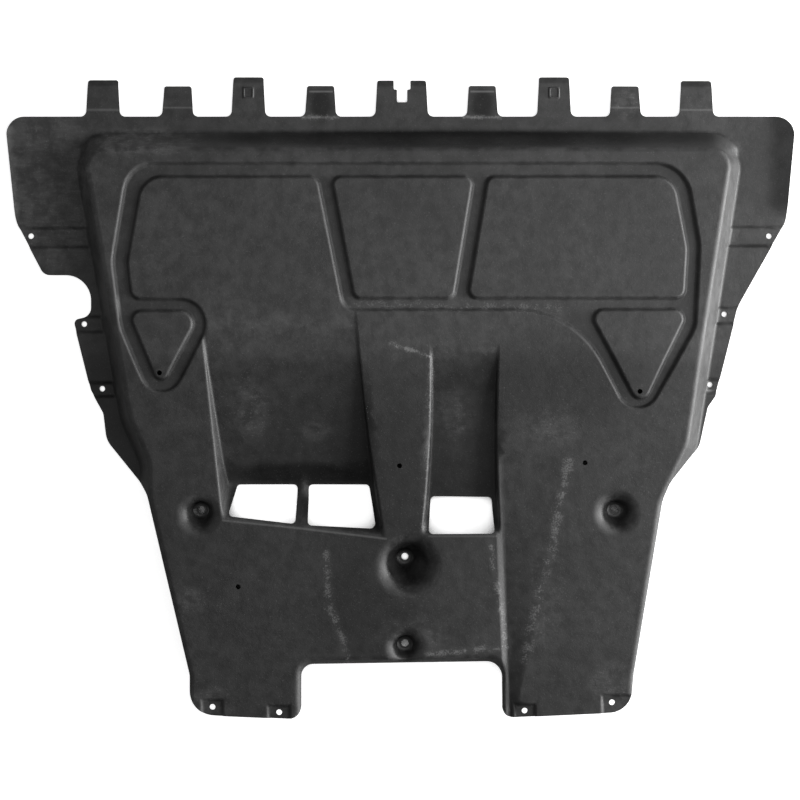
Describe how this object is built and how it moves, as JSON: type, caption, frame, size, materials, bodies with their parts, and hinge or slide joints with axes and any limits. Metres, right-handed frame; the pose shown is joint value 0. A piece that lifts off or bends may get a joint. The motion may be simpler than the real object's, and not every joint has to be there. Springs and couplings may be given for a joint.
{
  "type": "engine splash shield",
  "caption": "One-piece formed plastic undertray with a raised ribbed body, recessed ducts with louvre openings, funnel bolt seats and a tabbed front edge.",
  "frame": {"origin": "centre of the bounding box at the level of the lowest surfaces, which are the undersides of the screw lands", "axes": "+X across the car, +Y towards the front edge with the tabs, +Z out of the road side, so the shield lies road side up"},
  "size_m": [0.9595, 0.7793, 0.04],
  "materials": {
    "black_plastic": "satin"
  },
  "bodies": {
    "root": {"splash_shield": "black_plastic"}
  },
  "joints": []
}
